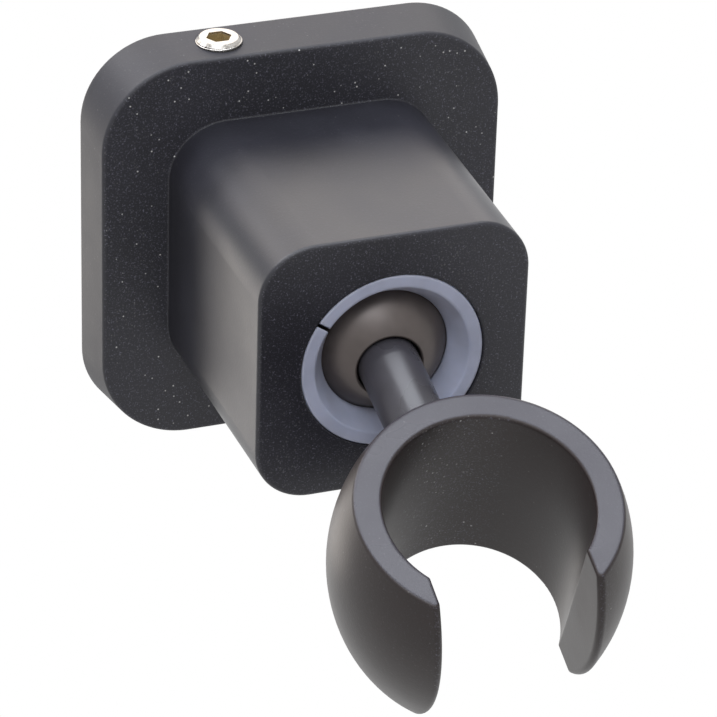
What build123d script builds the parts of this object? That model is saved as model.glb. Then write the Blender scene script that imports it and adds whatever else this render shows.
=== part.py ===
from build123d import *
import os
from math import cos, radians, sin, sqrt, tan

# Hand shower holder: a square wall flange and block, a ball joint in a split bush, and a C cradle.
# Millimetres. The wall is the plane Y = 0, the holder stands out towards -Y, and Z is up.
# A depth is a distance out from the wall.

# Wall flange
flange_side = 55.0
flange_corner_r = 12.1
flange_corner_back_r = 11.2
flange_thickness = 8.1
flange_draft = 4.3
flange_wall = 4.2
flange_skin = 2.3
edge_round = 0.45

# Block
block_side = 35.95
block_corner_r = 7.3
block_draft = 0.85
block_depth = 43.5

# Ball joint
ball_r = 9.95
ball_inset = 8.6
joint_clearance = 0.08
fixed_clearance = 0.04
bush_wall = 2.85
bush_taper = 4.5
bush_tail = 0.7
bush_set_back = 0.05
bush_rim_width = 1.75
bush_rim_round = 0.3
bush_split = 0.5
bush_split_angle = 146.0
bush_split_slant = 18.0
seat_wrap = 5.45
collet_gap = 0.6

# Parts behind the ball
rear_seat_hole_r = 5.0
rear_seat_rim = 1.4
washer_thickness = 1.2
washer_hole_r = 6.2
disc_spring_thickness = 0.9
disc_spring_cone = 0.8
disc_spring_hole_r = 6.6
thread_step = 0.9
plug_thickness = 7.0
plug_hex_flats = 12.0
plug_chamfer = 0.8

# Ball neck and stem: directions of the neck and the stem in the rest pose
neck_swing_angle = -3.2
neck_drop_angle = 3.5
stem_swing_angle = 3.7
stem_drop_angle = 23.3
stem_r = 3.96
stem_root = 5.0
neck_bend = 8.6
bend_r = 5.0
neck_counterbore_r = 4.25
neck_counterbore_start = 6.6
neck_rim_round = 0.2
cradle_distance = 30.63
stem_thread_cut = 0.35

# Cradle
cradle_roll_angle = 6.1
cradle_above = 11.6
cradle_below = 14.65
cradle_outer_r = 18.64
cradle_arc_r = 30.7
cradle_top_wall = 3.43
cradle_bottom_wall = 3.2
cradle_slot_share = 0.787
cradle_slot_turn_angle = -4.4
cradle_slot_lean_angle = -2.15
cradle_skin = 1.8
cradle_tip_outer_round = 0.6
cradle_tip_inner_round = 0.4
cradle_top_round = 0.45
cradle_bottom_round = 0.25
cut_overrun = 1.0

# Wall plate and set screw
plate_gap = 0.3
plate_set_back = 0.6
plate_chamfer = 0.6
plate_screw_edge = 9.2
plate_screw_r = 2.6
plate_head_r = 4.6
set_screw_r = 2.96
set_screw_x = -10.4
set_screw_depth = 3.6
set_screw_proud = 0.65
set_screw_hex_flats = 3.0
set_screw_socket = 3.0
set_screw_point_r = 1.0
set_screw_point = 1.3
set_screw_chamfer = 0.4
countersink_angle = 90.0

# Sizes that follow
ball_depth = block_depth - ball_inset
seat_r = ball_r + joint_clearance
lip_depth = ball_depth + seat_wrap
lip_r = sqrt(seat_r**2 - seat_wrap**2)
bush_front_depth = block_depth - bush_set_back
bush_back_depth = ball_depth - bush_tail
bush_back_r = seat_r + bush_wall
bush_length = bush_front_depth - bush_back_depth
bush_front_r = bush_back_r - bush_length * tan(radians(bush_taper))
bush_rim_r = bush_front_r - bush_rim_width
smooth_bore_r = bush_back_r + joint_clearance
front_bore_r = smooth_bore_r - (block_depth - bush_back_depth) * tan(radians(bush_taper))
thread_bore_r = smooth_bore_r + thread_step

rear_seat_front = bush_back_depth - collet_gap
rear_seat_back = ball_depth - sqrt(seat_r**2 - rear_seat_hole_r**2) - rear_seat_rim
washer_back = rear_seat_back - washer_thickness
disc_spring_height = disc_spring_thickness + disc_spring_cone
first_spring_back = washer_back - disc_spring_height
second_spring_back = first_spring_back - disc_spring_height
plug_back = second_spring_back - plug_thickness

cradle_arc_x = cradle_outer_r - cradle_arc_r
cradle_top_r = cradle_arc_x + sqrt(cradle_arc_r**2 - cradle_above**2)
cradle_bottom_r = cradle_arc_x + sqrt(cradle_arc_r**2 - cradle_below**2)
cradle_bore_top_r = cradle_top_r - cradle_top_wall
cradle_bore_bottom_r = cradle_bottom_r - cradle_bottom_wall
cradle_slot = cradle_slot_share * (cradle_bore_top_r + cradle_bore_bottom_r)

recess_side = flange_side - 2 * flange_wall
recess_corner_r = flange_corner_r - flange_wall
recess_depth = flange_thickness - flange_skin
plate_side = recess_side - 2 * plate_gap
plate_thickness = recess_depth - plate_set_back
flange_growth = tan(radians(flange_draft))
flange_back_side = flange_side + 2 * flange_thickness * flange_growth
flange_top = flange_side / 2 + (flange_thickness - set_screw_depth) * flange_growth
set_screw_head_z = flange_top + set_screw_proud
set_screw_shoulder_z = plate_side / 2 + fixed_clearance


def heading(swing, drop):
    """Unit vector that leaves the wall, turned sideways by swing and down by drop."""
    flat = cos(radians(drop))
    return Vector(flat * sin(radians(swing)), -flat * cos(radians(swing)), -sin(radians(drop)))


ball_centre = Vector(0, -ball_depth, 0)
neck_line = heading(neck_swing_angle, neck_drop_angle)
stem_line = heading(stem_swing_angle, stem_drop_angle)
bend_point = ball_centre + neck_line * neck_bend
cradle_centre = bend_point + stem_line * cradle_distance
side_line = stem_line.cross(Vector(0, 0, 1)).normalized()
upright_line = side_line.cross(stem_line)
cradle_up = upright_line * cos(radians(cradle_roll_angle)) + side_line * sin(radians(cradle_roll_angle))

# Housing: flange and block cast as one piece, hollow from the wall side
with BuildPart() as housing:
    with BuildSketch(Plane.XZ):
        RectangleRounded(flange_back_side, flange_back_side, flange_corner_back_r)
    with BuildSketch(Plane.XZ.offset(flange_thickness)):
        RectangleRounded(flange_side, flange_side, flange_corner_r)
    loft(ruled=True)
    fillet(housing.faces().sort_by(Axis.Y)[0].edges(), edge_round)

    block_reach = block_depth - flange_thickness
    block_growth = block_reach * tan(radians(block_draft))
    block_base_side = block_side + 2 * block_growth
    with BuildSketch(Plane.XZ.offset(flange_thickness)):
        RectangleRounded(block_base_side, block_base_side, block_corner_r + block_growth)
    extrude(amount=block_reach, taper=block_draft)
    fillet(housing.faces().sort_by(Axis.Y)[0].edges(), edge_round)

    with BuildSketch(Plane.XZ):
        RectangleRounded(recess_side, recess_side, recess_corner_r)
    extrude(amount=recess_depth, mode=Mode.SUBTRACT)

    with BuildSketch(Plane.XY):
        with BuildLine():
            Polyline(
                (0, -recess_depth),
                (thread_bore_r, -recess_depth),
                (thread_bore_r, -rear_seat_back),
                (smooth_bore_r, -rear_seat_back),
                (smooth_bore_r, -bush_back_depth),
                (front_bore_r, -block_depth),
                (0, -block_depth),
                close=True,
            )
        make_face()
    revolve(axis=Axis.Y, mode=Mode.SUBTRACT)

    with BuildSketch(Plane.XY.offset(plate_side / 2)):
        with Locations((set_screw_x, -set_screw_depth)):
            Circle(set_screw_r + fixed_clearance)
    extrude(amount=flange_back_side / 2, mode=Mode.SUBTRACT)
housing.part.label = "housing"

# Split bush: a tapered collet whose inner face wraps the front of the ball
with BuildPart() as split_bush:
    with BuildSketch(Plane.XY):
        with BuildLine():
            Line((bush_rim_r, -bush_front_depth), (bush_front_r, -bush_front_depth))
            Line((bush_front_r, -bush_front_depth), (bush_back_r, -bush_back_depth))
            Line((bush_back_r, -bush_back_depth), (seat_r, -bush_back_depth))
            Line((seat_r, -bush_back_depth), (seat_r, -ball_depth))
            RadiusArc((seat_r, -ball_depth), (lip_r, -lip_depth), seat_r)
            Line((lip_r, -lip_depth), (bush_rim_r, -bush_front_depth))
        make_face()
    revolve(axis=Axis.Y)
    fillet(split_bush.edges().group_by(Axis.Y)[0], bush_rim_round)
    split_side = Vector(cos(radians(bush_split_angle)), 0, sin(radians(bush_split_angle)))
    split_plane = Plane(
        origin=split_side * (bush_front_r / 2) - Vector(0, bush_front_depth, 0),
        x_dir=split_side,
        z_dir=Vector(0, 1, 0).rotate(Axis((0, 0, 0), split_side), bush_split_slant),
    )
    with BuildSketch(split_plane):
        Rectangle(bush_back_r + bush_rim_width, bush_split)
    extrude(amount=2 * bush_length, both=True, mode=Mode.SUBTRACT)
split_bush.part.label = "split_bush"

# Rear seat: a ring with a spherical cup that presses on the back of the ball
with BuildPart() as rear_seat:
    rear_seat_r = smooth_bore_r - fixed_clearance
    cup_mouth_r = sqrt(seat_r**2 - (ball_depth - rear_seat_front) ** 2)
    cup_floor_depth = rear_seat_back + rear_seat_rim
    with BuildSketch(Plane.XY):
        with BuildLine():
            Line((cup_mouth_r, -rear_seat_front), (rear_seat_r, -rear_seat_front))
            Line((rear_seat_r, -rear_seat_front), (rear_seat_r, -rear_seat_back))
            Line((rear_seat_r, -rear_seat_back), (rear_seat_hole_r, -rear_seat_back))
            Line((rear_seat_hole_r, -rear_seat_back), (rear_seat_hole_r, -cup_floor_depth))
            RadiusArc((rear_seat_hole_r, -cup_floor_depth), (cup_mouth_r, -rear_seat_front), seat_r)
        make_face()
    revolve(axis=Axis.Y)
rear_seat.part.label = "rear_seat"

# Thrust washer between the rear seat and the disc springs
with BuildPart() as thrust_washer:
    with BuildSketch(Plane.XZ.offset(washer_back)):
        Circle(smooth_bore_r)
        Circle(washer_hole_r, mode=Mode.SUBTRACT)
    extrude(amount=washer_thickness)
thrust_washer.part.label = "thrust_washer"


def disc_spring(back_depth, cups_wall):
    """Conical ring, one disc spring thick, whose outer edge is nearer the wall where cups_wall."""
    inner_lift = disc_spring_cone if cups_wall else 0
    outer_lift = disc_spring_cone - inner_lift
    with BuildPart() as ring:
        with BuildSketch(Plane.XY):
            with BuildLine():
                Polyline(
                    (disc_spring_hole_r, -back_depth - inner_lift),
                    (smooth_bore_r, -back_depth - outer_lift),
                    (smooth_bore_r, -back_depth - outer_lift - disc_spring_thickness),
                    (disc_spring_hole_r, -back_depth - inner_lift - disc_spring_thickness),
                    close=True,
                )
            make_face()
        revolve(axis=Axis.Y)
    return ring.part


# Two disc springs, rim to rim, that keep the ball gripped
front_disc_spring = disc_spring(first_spring_back, False)
front_disc_spring.label = "front_disc_spring"
rear_disc_spring = disc_spring(second_spring_back, True)
rear_disc_spring.label = "rear_disc_spring"

# Tension plug: screwed in from the wall side with a hexagon key
with BuildPart() as tension_plug:
    with BuildSketch(Plane.XZ.offset(plug_back)):
        Circle(thread_bore_r - fixed_clearance)
        RegularPolygon(plug_hex_flats / 2, 6, major_radius=False, mode=Mode.SUBTRACT)
    extrude(amount=plug_thickness)
    chamfer(tension_plug.faces().filter_by(GeomType.CYLINDER).edges(), plug_chamfer)
tension_plug.part.label = "tension_plug"

# Ball, bored along its neck for the stem
with BuildPart() as ball:
    with Locations(ball_centre):
        Sphere(ball_r)
    with BuildSketch(Plane(origin=ball_centre - neck_line * stem_root, z_dir=neck_line)):
        Circle(stem_r + joint_clearance)
    extrude(amount=2 * ball_r, mode=Mode.SUBTRACT)
    with BuildSketch(Plane(origin=ball_centre + neck_line * neck_counterbore_start, z_dir=neck_line)):
        Circle(neck_counterbore_r)
    extrude(amount=ball_r, mode=Mode.SUBTRACT)
    fillet(ball.edges().sort_by(Axis(ball_centre, neck_line))[-1], neck_rim_round)
ball.part.label = "ball"

# Stem: a cranked rod from the ball's bore to the back of the cradle
stem_start = ball_centre - neck_line * (stem_root - joint_clearance)
socket_depth = cradle_outer_r - (cradle_bore_top_r + cradle_bore_bottom_r) / 2 - cradle_skin
stem_end = cradle_centre - stem_line * (cradle_outer_r - socket_depth)
with BuildPart() as stem:
    with BuildLine() as stem_path:
        FilletPolyline(stem_start, bend_point, stem_end, radius=bend_r)
    with BuildSketch(Plane(origin=stem_start, z_dir=neck_line)):
        Circle(stem_r)
    sweep()
    chamfer(stem.edges().sort_by(Axis.Y)[0], stem_thread_cut)
    chamfer(stem.edges().sort_by(Axis.Y)[-1], stem_thread_cut)
stem.part.label = "stem"


def tip_edges():
    """Long edges of the cradle's two slot faces: the two at the bore, then the two outside."""
    faces = cradle.faces().filter_by(GeomType.PLANE)
    faces = faces.filter_by(lambda face: abs(face.normal_at().dot(slot_frame.y_dir)) > 0.999)
    edges = faces.edges().filter_by(lambda edge: edge.length > cradle_above)
    return edges.sort_by(Axis(cradle_centre, slot_frame.x_dir))


# Cradle: a barrel with a tapered bore, open towards the user
with BuildPart() as cradle:
    cradle_frame = Plane(origin=cradle_centre, x_dir=stem_line, z_dir=cradle_up)
    section = Plane(origin=cradle_centre, x_dir=stem_line, z_dir=stem_line.cross(cradle_up))
    with BuildSketch(section):
        with BuildLine():
            ThreePointArc(
                (cradle_bottom_r, -cradle_below), (cradle_outer_r, 0), (cradle_top_r, cradle_above)
            )
            Line((cradle_top_r, cradle_above), (cradle_bore_top_r, cradle_above))
            Line((cradle_bore_top_r, cradle_above), (cradle_bore_bottom_r, -cradle_below))
            Line((cradle_bore_bottom_r, -cradle_below), (cradle_bottom_r, -cradle_below))
        make_face()
    revolve(axis=Axis(cradle_centre, cradle_up))
    slot_frame = cradle_frame.rotated((cradle_slot_lean_angle, 0, cradle_slot_turn_angle))
    with BuildSketch(slot_frame.offset(-cradle_below - cut_overrun)):
        with Locations((cradle_outer_r, 0)):
            Rectangle(2 * cradle_outer_r, cradle_slot)
    extrude(amount=cradle_above + cradle_below + 2 * cut_overrun, mode=Mode.SUBTRACT)
    fillet(tip_edges()[-2:], cradle_tip_outer_round)
    fillet(tip_edges()[:2], cradle_tip_inner_round)
    fillet(cradle.faces().sort_by(Axis(cradle_centre, cradle_up))[-1].edges(), cradle_top_round)
    fillet(cradle.faces().sort_by(Axis(cradle_centre, cradle_up))[0].edges(), cradle_bottom_round)
    with BuildSketch(Plane(origin=stem_end + stem_line * fixed_clearance, z_dir=-stem_line)):
        Circle(stem_r + fixed_clearance)
    extrude(amount=cradle_outer_r, mode=Mode.SUBTRACT)
cradle.part.label = "cradle"

# Wall plate: screwed to the wall, gripped inside the flange by the set screw
with BuildPart() as wall_plate:
    with BuildSketch(Plane.XZ):
        RectangleRounded(plate_side, plate_side, recess_corner_r - plate_gap)
    extrude(amount=plate_thickness)
    chamfer(wall_plate.faces().sort_by(Axis.Y)[0].edges(), plate_chamfer)
    screw_reach = plate_side / 2 - plate_screw_edge
    with Locations(Plane.XZ.offset(plate_thickness)):
        with Locations((0, screw_reach), (0, -screw_reach)):
            CounterSinkHole(plate_screw_r, plate_head_r, plate_thickness, countersink_angle)
    with BuildSketch(Plane.XY.offset(plate_side / 2)):
        with Locations((set_screw_x, -set_screw_depth)):
            Circle(set_screw_point_r + fixed_clearance)
    extrude(amount=-set_screw_point - fixed_clearance, mode=Mode.SUBTRACT)
wall_plate.part.label = "wall_plate"

# Set screw: hexagon socket, in the flange's top edge, its dog point in the wall plate
with BuildPart() as set_screw:
    with BuildSketch(Plane.XY.offset(set_screw_head_z)):
        with Locations((set_screw_x, -set_screw_depth)):
            Circle(set_screw_r)
    extrude(amount=set_screw_shoulder_z - set_screw_head_z)
    chamfer(set_screw.edges().filter_by(GeomType.CIRCLE), set_screw_chamfer)
    with BuildSketch(Plane.XY.offset(set_screw_head_z)):
        with Locations((set_screw_x, -set_screw_depth)):
            RegularPolygon(set_screw_hex_flats / 2, 6, major_radius=False)
    extrude(amount=-set_screw_socket, mode=Mode.SUBTRACT)
    with BuildSketch(Plane.XY.offset(set_screw_shoulder_z)):
        with Locations((set_screw_x, -set_screw_depth)):
            Circle(set_screw_point_r)
    extrude(amount=-set_screw_point)
set_screw.part.label = "set_screw"

os.makedirs("parts", exist_ok=True)
export_step(housing.part, "parts/housing.step")
export_step(split_bush.part, "parts/split_bush.step")
export_step(rear_seat.part, "parts/rear_seat.step")
export_step(thrust_washer.part, "parts/thrust_washer.step")
export_step(front_disc_spring, "parts/front_disc_spring.step")
export_step(rear_disc_spring, "parts/rear_disc_spring.step")
export_step(tension_plug.part, "parts/tension_plug.step")
export_step(ball.part, "parts/ball.step")
export_step(stem.part, "parts/stem.step")
export_step(cradle.part, "parts/cradle.step")
export_step(wall_plate.part, "parts/wall_plate.step")
export_step(set_screw.part, "parts/set_screw.step")
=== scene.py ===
import math

import bpy
from mathutils import Euler, Matrix, Vector


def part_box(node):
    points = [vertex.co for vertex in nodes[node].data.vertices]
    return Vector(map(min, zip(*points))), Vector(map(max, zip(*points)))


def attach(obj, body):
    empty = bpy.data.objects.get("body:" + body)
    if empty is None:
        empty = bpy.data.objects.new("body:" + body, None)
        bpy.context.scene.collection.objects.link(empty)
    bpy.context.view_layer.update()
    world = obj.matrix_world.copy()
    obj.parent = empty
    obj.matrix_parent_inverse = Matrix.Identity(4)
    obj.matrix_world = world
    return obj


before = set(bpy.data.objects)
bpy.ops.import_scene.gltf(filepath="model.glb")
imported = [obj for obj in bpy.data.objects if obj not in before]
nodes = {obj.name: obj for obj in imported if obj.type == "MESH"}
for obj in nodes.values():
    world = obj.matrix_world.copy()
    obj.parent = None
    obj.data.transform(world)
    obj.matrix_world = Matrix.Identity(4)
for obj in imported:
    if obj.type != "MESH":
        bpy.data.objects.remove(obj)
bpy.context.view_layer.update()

# lengths are in metres and angles in degrees, and colours are linear

# the camera, at the photograph's angle
CAMERA_PLACE = (-0.161156, -0.459931, 0.253574)
CAMERA_TURN = (-28.8611, -1.1653, -18.9954)
FOCAL_PIXELS = 4077.11
CENTRE_PIXELS = (300.15, 305.77)
FRAME_PIXELS = 717
SENSOR_WIDTH_MM = 36.0

# the powder coat
GRAIN_COLOUR = (0.14, 0.14, 0.18, 1.0)
# painted sheen: colour for the top faces, lighter and bluer, standing in for the light from
# above
PAINTED_TOP_SHEEN_COLOUR = (0.031, 0.028, 0.037, 1.0)
DUST_COLOUR = (0.62, 0.62, 0.62, 1.0)
DUST_RANGE_Y = (-0.030, -0.012)  # towards the wall more dust lies on the coat
FLANGE_RANGE_Y = (-0.010, -0.007)  # from the block to the flange the coat gets duller
FLANGE_DULLER = 0.18
# how much smoother the top faces are, which strengthens their sheen
TOP_SHEEN_SMOOTHER = 0.09

# edges of the coat and the nylon shade as if rounded to this radius
EDGE_RADIUS = 0.0004
EDGE_SAMPLES = 6

# the set screw
SCREW_X, SCREW_Y, SCREW_HEAD_Z = -0.0104, -0.0036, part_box("set_screw")[1][2]
SCREW_RADIUS = 0.00296
SOCKET_EDGE = (0.00172, 0.00178)
SOCKET_DEPTH = (0.0001, 0.0004)
STEEL_DARK = (0.40, 0.38, 0.355, 1.0)
STEEL_LIGHT = (0.55, 0.53, 0.50, 1.0)
SOCKET_COLOUR = (0.42, 0.33, 0.17, 1.0)

# the thread crest: the profile is in shares of its reach and its height
CREST_STEPS = 120
CREST_PROFILE = ((0.0, -1.0), (0.5, -0.45), (1.0, -0.12), (1.0, 0.12), (0.5, 0.45), (0.0, 1.0))
CREST_REACH = 0.00015
CREST_HEIGHT = 0.00010
CREST_BELOW_HEAD = 0.00054
CREST_CLIMB = 0.00007
CREST_SUNK = 0.00002

# hidden metal pieces: node, material, colour, roughness, scale of the tool marks
METALS = (
    ("thrust_washer", "zinc_washer", (0.6, 0.6, 0.62), 0.35, 1500.0),
    ("front_disc_spring", "spring_front", (0.25, 0.25, 0.27), 0.3, 1500.0),
    ("rear_disc_spring", "spring_rear", (0.25, 0.25, 0.27), 0.3, 1500.0),
    ("tension_plug", "brass_plug", (0.7, 0.52, 0.26), 0.3, 1800.0),
    ("wall_plate", "zinc_plate", (0.55, 0.55, 0.57), 0.38, 1200.0),
)

# soft lamps: name, place, the point it faces, width and height, watts, colour
LAMPS = (
    ("top", (0.03, 0.06, 0.90), (0.0, -0.06, 0.0), (0.95, 0.34), 6.8, (0.88, 0.92, 1.0)),
    ("left", (-0.50, 0.42, 0.66), (0.0, -0.05, 0.0), (0.40, 0.36), 3.2, (0.92, 0.93, 1.0)),
    ("front", (-0.20, -0.49, 0.71), (0.0, -0.04, 0.0), (0.8, 0.36), 4.2, (0.92, 0.95, 1.0)),
    ("back", (0.02, 0.76, 0.52), (0.0, -0.04, 0.0), (1.4, 0.6), 4.5, (1.0, 0.91, 0.84)),
    ("low", (-0.36, 0.72, -0.28), (0.0, -0.03, 0.0), (0.5, 0.4), 0.95, (1.0, 0.91, 0.83)),
)

# the surround and the floor
WHITE = (1.0, 1.0, 1.0, 1.0)
SURROUND_COLOUR = (1.0, 0.95, 0.91, 1.0)
SURROUND_FRONT, SURROUND_BACK = 0.50, 0.68
SURROUND_RIGHT, SURROUND_ABOVE = 0.6, 0.7
FLOOR_SIZE = 1.0
FLOOR_PLACE = (0.0, -0.30, -0.30)
FLOOR_COLOUR = (0.45, 0.45, 0.45, 1.0)
FLOOR_WHITE_SHARE = 0.95


def make_camera():
    data = bpy.data.cameras.new("camera")
    data.sensor_width = SENSOR_WIDTH_MM
    data.lens = FOCAL_PIXELS / FRAME_PIXELS * data.sensor_width
    data.shift_x = (FRAME_PIXELS / 2 - CENTRE_PIXELS[0]) / FRAME_PIXELS
    data.shift_y = (CENTRE_PIXELS[1] - FRAME_PIXELS / 2) / FRAME_PIXELS
    data.clip_start = 0.01
    data.clip_end = 20.0
    cam = bpy.data.objects.new("camera", data)
    turn = Euler([math.radians(v) for v in CAMERA_TURN]).to_matrix()
    turn = turn @ Matrix.Rotation(math.pi / 2, 3, "X")
    cam.matrix_world = Matrix.Translation(CAMERA_PLACE) @ turn.to_4x4()
    bpy.context.scene.collection.objects.link(cam)
    bpy.context.scene.camera = cam


class Nodes:
    """A few short calls for building a node tree."""

    def __init__(self, tree):
        self.tree = tree
        tree.nodes.clear()

    def add(self, kind, **inputs):
        node = self.tree.nodes.new(kind)
        for key, value in inputs.items():
            self.put(node, key, value)
        return node

    def put(self, node, key, value):
        socket = node.inputs[key.replace("_", " ")] if isinstance(key, str) else node.inputs[key]
        if isinstance(value, bpy.types.NodeSocket):
            self.tree.links.new(value, socket)
        else:
            socket.default_value = value

    def math(self, operation, a, b=0.0, clamp=False):
        node = self.add("ShaderNodeMath")
        node.operation = operation
        node.use_clamp = clamp
        self.put(node, 0, a)
        self.put(node, 1, b)
        return node.outputs[0]

    def times(self, a, b, clamp=False):
        return self.math("MULTIPLY", a, b, clamp)

    def mix(self, factor, a, b):
        node = self.add("ShaderNodeMix")
        node.data_type = "RGBA"
        self.put(node, 0, factor)
        self.put(node, 6, a)
        self.put(node, 7, b)
        return node.outputs[2]

    def ramp(self, value, low, high, out_low=0.0, out_high=1.0):
        """A smooth step from out_low at low to out_high at high."""
        node = self.add("ShaderNodeMapRange")
        node.interpolation_type = "SMOOTHSTEP"
        for i, v in enumerate((value, low, high, out_low, out_high)):
            self.put(node, i, v)
        return node.outputs[0]

    def coordinate(self, kind):
        return self.add("ShaderNodeTexCoord").outputs[kind]

    def split(self, vector):
        node = self.add("ShaderNodeSeparateXYZ")
        self.put(node, 0, vector)
        return node.outputs

    def noise(self, scale, detail, roughness):
        node = self.add("ShaderNodeTexNoise", Scale=scale, Detail=detail, Roughness=roughness)
        self.put(node, "Vector", self.coordinate("Object"))
        return node.outputs["Fac"]

    def bump(self, height, strength, distance, edge=0.0):
        """Fine relief. Where edge is above 0, edges shade as if rounded to that radius."""
        node = self.add("ShaderNodeBump", Height=height, Strength=strength, Distance=distance)
        if edge:
            soft = self.add("ShaderNodeBevel", Radius=edge)
            soft.samples = EDGE_SAMPLES
            self.put(node, "Normal", soft.outputs[0])
        return node.outputs[0]

    def surface(self, shader):
        out = self.add("ShaderNodeOutputMaterial")
        self.tree.links.new(shader.outputs[0], out.inputs["Surface"])


def new_material(name):
    mat = bpy.data.materials.new(name)
    mat.use_nodes = True
    return mat, Nodes(mat.node_tree)


def tint(colour, factor):
    return [c * factor for c in colour] + [1.0]


def specks(n, scale, share, size, seed):
    """Dust: round dots in a share of the cells of a 3-D grid, and a random number per dot."""
    shifted = n.add("ShaderNodeVectorMath")
    shifted.operation = "ADD"
    n.put(shifted, 0, n.coordinate("Object"))
    shifted.inputs[1].default_value = (seed, seed * 1.7, -seed)
    cells = n.add("ShaderNodeTexVoronoi", Scale=scale, Randomness=1.0)
    n.put(cells, "Vector", shifted.outputs[0])
    random = n.add("ShaderNodeSeparateColor")
    n.put(random, 0, cells.outputs["Color"])
    dot = n.ramp(cells.outputs["Distance"], size, size * 0.4)
    chosen = n.math("LESS_THAN", random.outputs[0], share)
    return n.times(dot, chosen), random.outputs[1]


def powder_coat(name, colour, roughness, specular, dust, painted_top_sheen=0.0):
    """Fine black powder coat: smooth sheen, grain that shows on the front faces, settled dust.

    Where the last argument is above 0, the top faces are painted lighter and bluer, a painted
    sheen standing in for the light from above, and they are also smoother.
    """
    mat, n = new_material(name)
    facing = n.split(n.coordinate("Normal"))
    front = n.ramp(facing[1], -0.7, -0.95, 0.1, 1.0)
    # top: faces that look up, scaled by the last argument; it drives the painted sheen colour
    # and the smoother roughness
    top = n.ramp(facing[2], 0.70, 0.85, 0.0, painted_top_sheen)
    along = n.split(n.coordinate("Object"))[1]
    cloud = n.noise(60.0, 3.0, 0.6)
    fine = n.noise(2200.0, 2.0, 0.7)
    grain = n.noise(4300.0, 1.0, 0.6)

    base = n.mix(n.ramp(cloud, 0.35, 0.65), tint(colour, 0.88), tint(colour, 1.10))
    # painted sheen: top faces are mixed towards a lighter, bluer colour
    base = n.mix(top, base, PAINTED_TOP_SHEEN_COLOUR)
    sparkle = n.times(n.ramp(grain, 0.52, 0.72), n.ramp(fine, 0.4, 0.7, 0.2, 1.0))
    base = n.mix(n.times(sparkle, n.times(front, 0.9)), base, GRAIN_COLOUR)

    many, many_random = specks(n, 2500.0, 0.22, 0.42, 0.31)
    few, few_random = specks(n, 1000.0, 0.36, 0.15, 0.77)
    patch = n.ramp(n.noise(85.0, 3.0, 0.65), 0.40, 0.72)
    faint = n.times(n.times(many, patch), n.ramp(many_random, 0.2, 1.0, 0.1, 0.6))
    bright = n.times(few, n.ramp(few_random, 0.3, 1.0, 0.15, 1.0))
    settled = n.times(front, n.ramp(along, *DUST_RANGE_Y, dust, 1.0))
    amount = n.times(n.math("MAXIMUM", faint, bright), settled, clamp=True)
    base = n.mix(amount, base, DUST_COLOUR)

    rough = n.ramp(cloud, 0.3, 0.7, roughness - 0.03, roughness + 0.04)
    rough = n.math("ADD", rough, n.ramp(along, *FLANGE_RANGE_Y, 0.0, FLANGE_DULLER))
    rough = n.math("SUBTRACT", rough, n.times(top, TOP_SHEEN_SMOOTHER))
    height = n.math("ADD", n.times(fine, 0.6), n.times(grain, 0.4))
    shader = n.add("ShaderNodeBsdfPrincipled", Base_Color=base, Roughness=rough)
    n.put(shader, "Specular IOR Level", specular)
    n.put(shader, "Normal", n.bump(height, 0.3, 0.00006, EDGE_RADIUS))
    n.surface(shader)
    return mat


def satin(name, colour, roughness, specular, metallic):
    """Smooth satin black on turned metal."""
    mat, n = new_material(name)
    cloud = n.noise(140.0, 3.0, 0.6)
    fine = n.noise(2200.0, 2.0, 0.6)
    base = n.mix(n.ramp(cloud, 0.3, 0.7), tint(colour, 0.85), tint(colour, 1.15))
    rough = n.ramp(cloud, 0.3, 0.7, roughness - 0.03, roughness + 0.05)
    shader = n.add("ShaderNodeBsdfPrincipled", Base_Color=base, Roughness=rough)
    n.put(shader, "Specular IOR Level", specular)
    n.put(shader, "Metallic", metallic)
    n.put(shader, "Normal", n.bump(fine, 0.12, 0.00005))
    n.surface(shader)
    return mat


def nylon(name, colour):
    """Natural nylon: milky, with some light passing below its skin, and a waxy sheen."""
    mat, n = new_material(name)
    cloud = n.noise(180.0, 3.0, 0.55)
    fine = n.noise(1500.0, 2.0, 0.6)
    base = n.mix(n.ramp(cloud, 0.3, 0.7), tint(colour, 0.9), tint(colour, 1.06))
    shader = n.add("ShaderNodeBsdfPrincipled", Base_Color=base, Roughness=0.38)
    n.put(shader, "Subsurface Weight", 0.35)
    n.put(shader, "Subsurface Radius", (0.8, 1.0, 1.2))
    n.put(shader, "Subsurface Scale", 0.0012)
    n.put(shader, "Normal", n.bump(fine, 0.1, 0.00005, EDGE_RADIUS))
    n.surface(shader)
    return mat


def metal(name, colour, roughness, lines):
    """Plain machined metal with fine tool marks."""
    mat, n = new_material(name)
    fine = n.noise(lines, 2.0, 0.6)
    cloud = n.noise(300.0, 2.0, 0.5)
    base = n.mix(n.ramp(cloud, 0.3, 0.7), tint(colour, 0.92), tint(colour, 1.0))
    rough = n.ramp(fine, 0.3, 0.7, roughness - 0.06, roughness + 0.08)
    shader = n.add("ShaderNodeBsdfPrincipled", Base_Color=base, Metallic=1.0, Roughness=rough)
    n.put(shader, "Normal", n.bump(fine, 0.15, 0.00004))
    n.surface(shader)
    return mat


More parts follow.
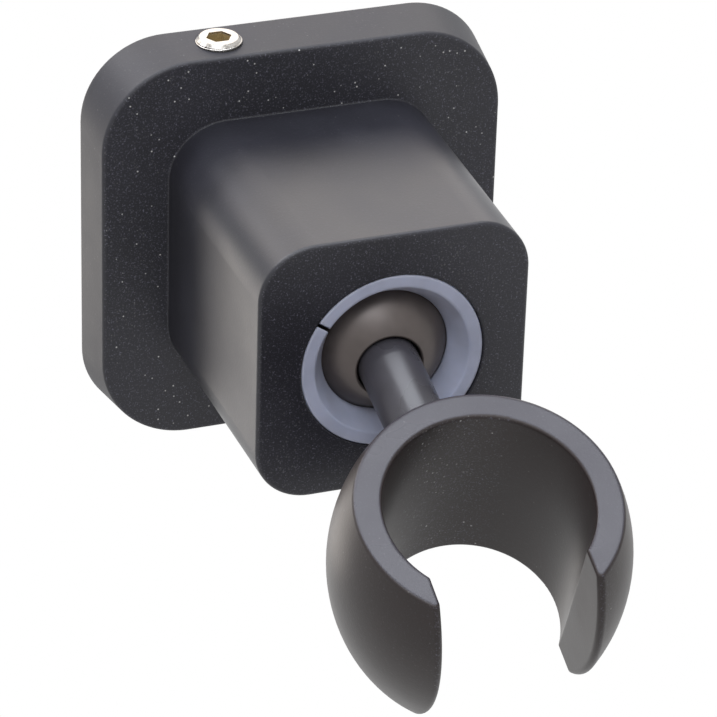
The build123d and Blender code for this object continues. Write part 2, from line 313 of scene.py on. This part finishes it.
def screw_steel():
    """Bright stainless steel, with a brown-gold tone inside the hexagon socket."""
    mat, n = new_material("stainless_screw")
    x, y, z = n.split(n.coordinate("Object"))
    across = n.math("SUBTRACT", x, SCREW_X)
    along = n.math("SUBTRACT", y, SCREW_Y)
    squares = n.math("ADD", n.times(across, across), n.times(along, along))
    inside = n.ramp(n.math("SQRT", squares), SOCKET_EDGE[1], SOCKET_EDGE[0])
    below = n.ramp(z, SCREW_HEAD_Z - SOCKET_DEPTH[0], SCREW_HEAD_Z - SOCKET_DEPTH[1])
    socket = n.times(inside, below)
    fine = n.noise(2500.0, 2.0, 0.6)
    base = n.mix(n.ramp(fine, 0.3, 0.7), STEEL_DARK, STEEL_LIGHT)
    base = n.mix(socket, base, SOCKET_COLOUR)
    rough = n.ramp(fine, 0.3, 0.7, 0.16, 0.30)
    shader = n.add("ShaderNodeBsdfPrincipled", Base_Color=base, Roughness=rough)
    n.put(shader, "Metallic", n.ramp(socket, 0.0, 1.0, 1.0, 0.35))
    n.put(shader, "Normal", n.bump(fine, 0.06, 0.00004))
    n.surface(shader)
    return mat


def make_thread_crest(mat):
    """The one turn of thread that stands clear of the flange, as a slanting ridge."""
    rows = len(CREST_PROFILE)
    verts, faces = [], []
    for i in range(CREST_STEPS):
        angle = 2.0 * math.pi * i / CREST_STEPS
        middle = SCREW_HEAD_Z - CREST_BELOW_HEAD + CREST_CLIMB * math.cos(angle)
        for out, up in CREST_PROFILE:
            r = SCREW_RADIUS - CREST_SUNK + out * CREST_REACH
            x = SCREW_X + r * math.cos(angle)
            y = SCREW_Y + r * math.sin(angle)
            verts.append((x, y, middle + up * CREST_HEIGHT))
    for i in range(CREST_STEPS):
        a, b = i * rows, (i + 1) % CREST_STEPS * rows
        for k in range(rows):
            m = (k + 1) % rows
            faces.append((a + k, b + k, b + m, a + m))
    mesh = bpy.data.meshes.new("screw_thread_crest")
    mesh.from_pydata(verts, [], faces)
    mesh.shade_smooth()
    mesh.materials.append(mat)
    crest = bpy.data.objects.new("screw_thread_crest", mesh)
    bpy.context.scene.collection.objects.link(crest)
    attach(crest, "bracket")


def dress(node, mat):
    data = nodes[node].data
    data.materials.clear()
    data.materials.append(mat)


def make_materials():
    dress("housing", powder_coat("coat_housing", (0.018, 0.018, 0.024), 0.34, 0.44, 0.2))
    # the cradle's top faces get the full painted sheen (last argument 1.0)
    dress("cradle", powder_coat("coat_cradle", (0.022, 0.0160, 0.0155), 0.37, 0.34, 1.0, 1.0))
    dress("ball", satin("satin_ball", (0.098, 0.083, 0.078), 0.40, 0.5, 0.5))
    dress("stem", satin("satin_stem", (0.045, 0.043, 0.051), 0.28, 0.46, 0.0))
    dress("split_bush", nylon("nylon_bush", (0.43, 0.46, 0.59)))
    dress("rear_seat", nylon("nylon_seat", (0.45, 0.46, 0.48)))
    steel = screw_steel()
    dress("set_screw", steel)
    make_thread_crest(steel)
    for node, *look in METALS:
        dress(node, metal(*look))


def make_lamp(name, place, target, size, power, colour):
    data = bpy.data.lights.new(name, "AREA")
    data.shape = "RECTANGLE"
    data.size, data.size_y = size
    data.energy = power
    data.color = colour
    obj = bpy.data.objects.new(name, data)
    obj.location = place
    obj.rotation_mode = "QUATERNION"
    obj.rotation_quaternion = (Vector(target) - Vector(place)).to_track_quat("-Z", "Y")
    bpy.context.scene.collection.objects.link(obj)


def background_rays(n):
    """1 for the rays that see the background: straight, in a reflection or through glass."""
    path = n.add("ShaderNodeLightPath")
    rays = n.math("ADD", path.outputs["Is Camera Ray"], path.outputs["Is Glossy Ray"])
    return n.math("ADD", rays, path.outputs["Is Transmission Ray"], clamp=True)


def make_world():
    """White to look at; as a light a plain surround, dimmer in front, to the right and above."""
    world = bpy.data.worlds.new("studio")
    bpy.context.scene.world = world
    world.use_nodes = True
    n = Nodes(world.node_tree)
    x, y, z = n.split(n.coordinate("Generated"))
    level = n.ramp(y, -0.85, 0.6, SURROUND_FRONT, SURROUND_BACK)
    level = n.times(level, n.ramp(x, 0.0, 0.85, 1.0, SURROUND_RIGHT))
    level = n.times(level, n.ramp(z, 0.0, 0.8, 1.0, SURROUND_ABOVE))
    white = background_rays(n)
    colour = n.mix(white, SURROUND_COLOUR, WHITE)
    back = n.add("ShaderNodeBackground", Color=colour, Strength=n.math("MAXIMUM", level, white))
    out = n.add("ShaderNodeOutputWorld")
    n.tree.links.new(back.outputs[0], out.inputs["Surface"])


def make_floor():
    """A plain pale floor below the holder."""
    bpy.ops.mesh.primitive_plane_add(size=FLOOR_SIZE, location=FLOOR_PLACE)
    floor = bpy.context.object
    floor.name = "floor"
    mat, n = new_material("pale_floor")
    diffuse = n.add("ShaderNodeBsdfDiffuse", Color=FLOOR_COLOUR)
    white = n.add("ShaderNodeEmission", Color=WHITE, Strength=1.0)
    mixed = n.add("ShaderNodeMixShader")
    n.put(mixed, 0, n.times(background_rays(n), FLOOR_WHITE_SHARE))
    n.put(mixed, 1, diffuse.outputs[0])
    n.put(mixed, 2, white.outputs[0])
    n.surface(mixed)
    floor.data.materials.append(mat)


make_camera()
make_materials()
make_world()
make_floor()
for lamp in LAMPS:
    make_lamp(*lamp)
bpy.context.scene.view_settings.view_transform = "Standard"
